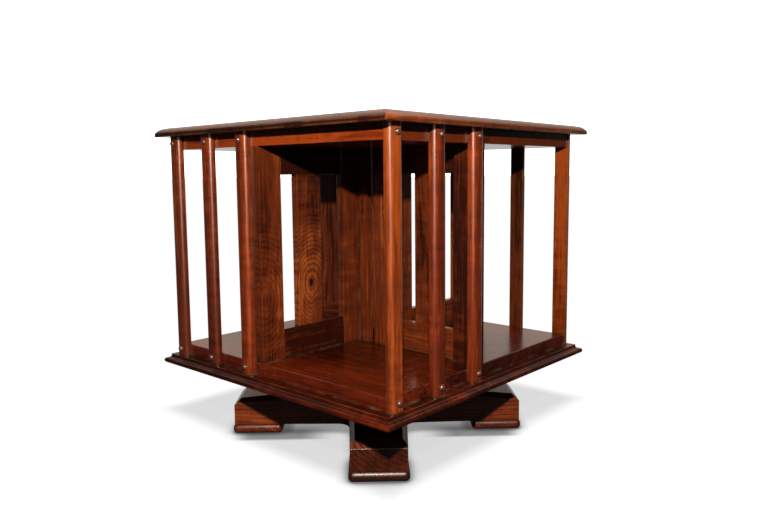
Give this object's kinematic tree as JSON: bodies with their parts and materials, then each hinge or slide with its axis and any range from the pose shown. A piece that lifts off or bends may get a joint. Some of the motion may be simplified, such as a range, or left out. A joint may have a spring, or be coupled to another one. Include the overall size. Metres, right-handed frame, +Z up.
{
  "type": "revolving desktop bookcase",
  "caption": "Square revolving desktop bookcase: an open slatted wooden case with moulded top and plinth, turning on a low cross-shaped base.",
  "frame": {"origin": "centre of the cross base on the surface it stands on", "axes": "+Z up along the spindle; the open faces of the case look along -Y, +X, +Y and -X"},
  "size_m": [0.342, 0.342, 0.3409],
  "materials": {
    "case_wood": "french-polished red-brown mahogany",
    "partition_wood": "french-polished red-brown mahogany",
    "base_wood": "french-polished red-brown mahogany",
    "studs": "darkened bronze, polished by wear",
    "steel": "turned, lightly oiled",
    "bush_brass": "turned"
  },
  "bodies": {
    "base": {"arm_lower": "base_wood", "arm_upper": "base_wood", "foot_1": "base_wood", "foot_2": "base_wood", "foot_3": "base_wood", "foot_4": "base_wood", "boss": "base_wood", "thrust_washer": "steel", "spindle": "steel", "spindle_washer": "steel", "spindle_nut": "steel"},
    "case": {"bottom_rail_1": "partition_wood", "bottom_rail_2": "partition_wood", "bottom_rail_3": "partition_wood", "bottom_rail_4": "partition_wood", "bush": "bush_brass", "core_stile_1": "partition_wood", "core_stile_2": "partition_wood", "core_stile_3": "partition_wood", "core_stile_4": "partition_wood", "inner_stile_1": "partition_wood", "inner_stile_2": "partition_wood", "inner_stile_3": "partition_wood", "inner_stile_4": "partition_wood", "middle_slat_1": "partition_wood", "middle_slat_2": "partition_wood", "middle_slat_3": "partition_wood", "middle_slat_4": "partition_wood", "outer_stile_1": "partition_wood", "outer_stile_2": "partition_wood", "outer_stile_3": "partition_wood", "outer_stile_4": "partition_wood", "plinth": "case_wood", "shelf": "case_wood", "slat_1a": "case_wood", "slat_1b": "case_wood", "slat_1c": "case_wood", "slat_2a": "case_wood", "slat_2b": "case_wood", "slat_2c": "case_wood", "slat_3a": "case_wood", "slat_3b": "case_wood", "slat_3c": "case_wood", "slat_4a": "case_wood", "slat_4b": "case_wood", "slat_4c": "case_wood", "studs_lower": "studs", "studs_upper": "studs", "top": "case_wood", "top_rail_1": "partition_wood", "top_rail_2": "partition_wood", "top_rail_3": "partition_wood", "top_rail_4": "partition_wood", "upper_board": "case_wood"}
  },
  "joints": [
    {"name": "case_spin", "type": "hinge", "parent": "base", "child": "case", "pos_m": [0, 0, 0.078], "axis": [0, 0, 1], "continuous": true}
  ]
}
